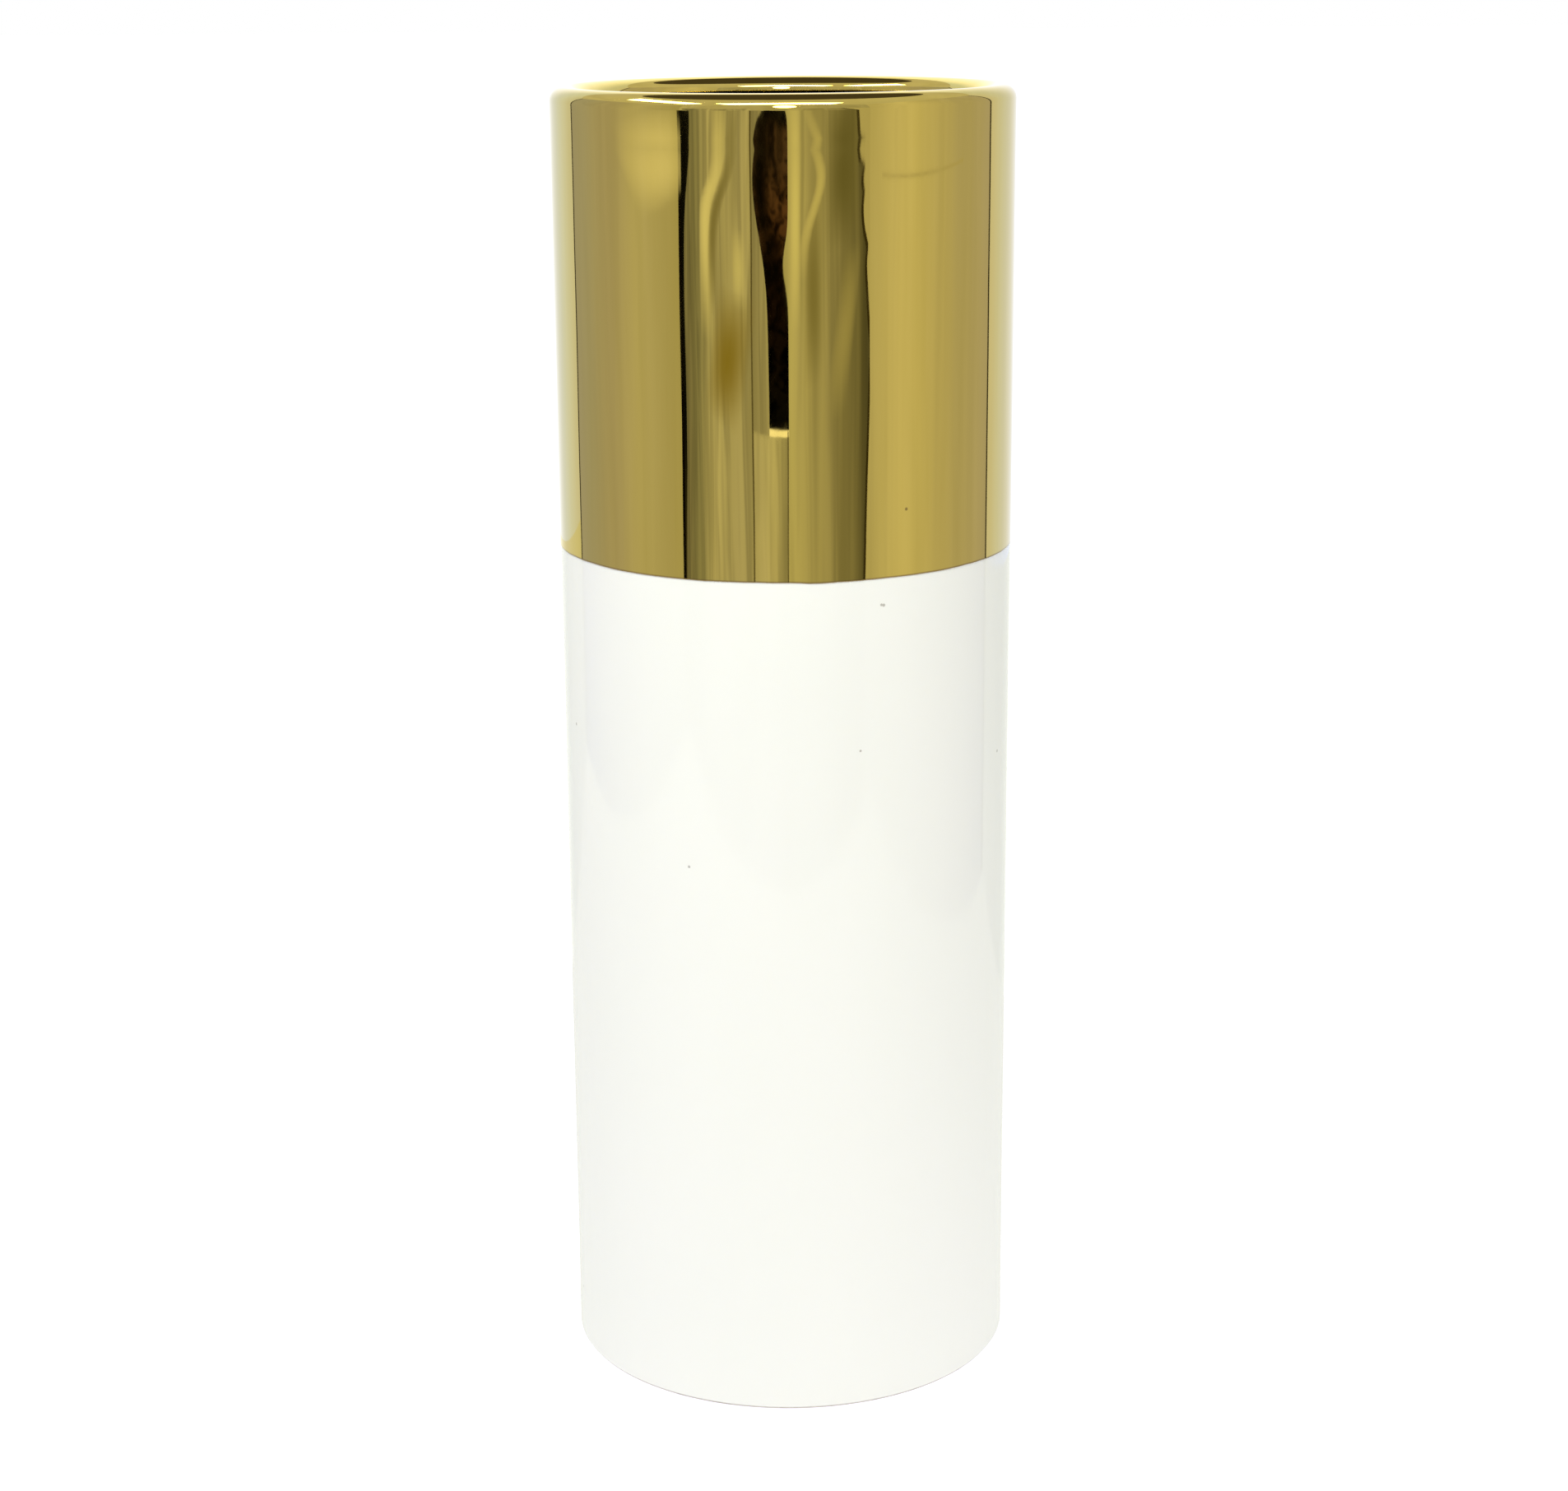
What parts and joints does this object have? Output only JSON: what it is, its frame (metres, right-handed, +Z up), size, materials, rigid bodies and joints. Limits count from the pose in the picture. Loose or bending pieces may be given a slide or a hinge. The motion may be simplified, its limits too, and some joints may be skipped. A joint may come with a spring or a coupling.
{
  "type": "vase",
  "caption": "Tall straight cylindrical porcelain vase, white glazed below, with a gold lustre band over the top third, the rounded rim and the inside of the mouth.",
  "frame": {"origin": "centre of the foot, on the surface that the vase stands on", "axes": "+Z up along the vase's own axis, from the foot to the mouth; the vase is round, so X and Y are free"},
  "size_m": [0.0888, 0.0888, 0.254],
  "materials": {
    "bare_porcelain": "matte",
    "white_glaze": "gloss",
    "gold_lustre": "polished"
  },
  "bodies": {
    "root": {"porcelain_body": "bare_porcelain", "exterior_glaze": "white_glaze", "interior_glaze": "white_glaze", "base_glaze": "white_glaze", "gold_lustre": "gold_lustre"}
  },
  "joints": []
}
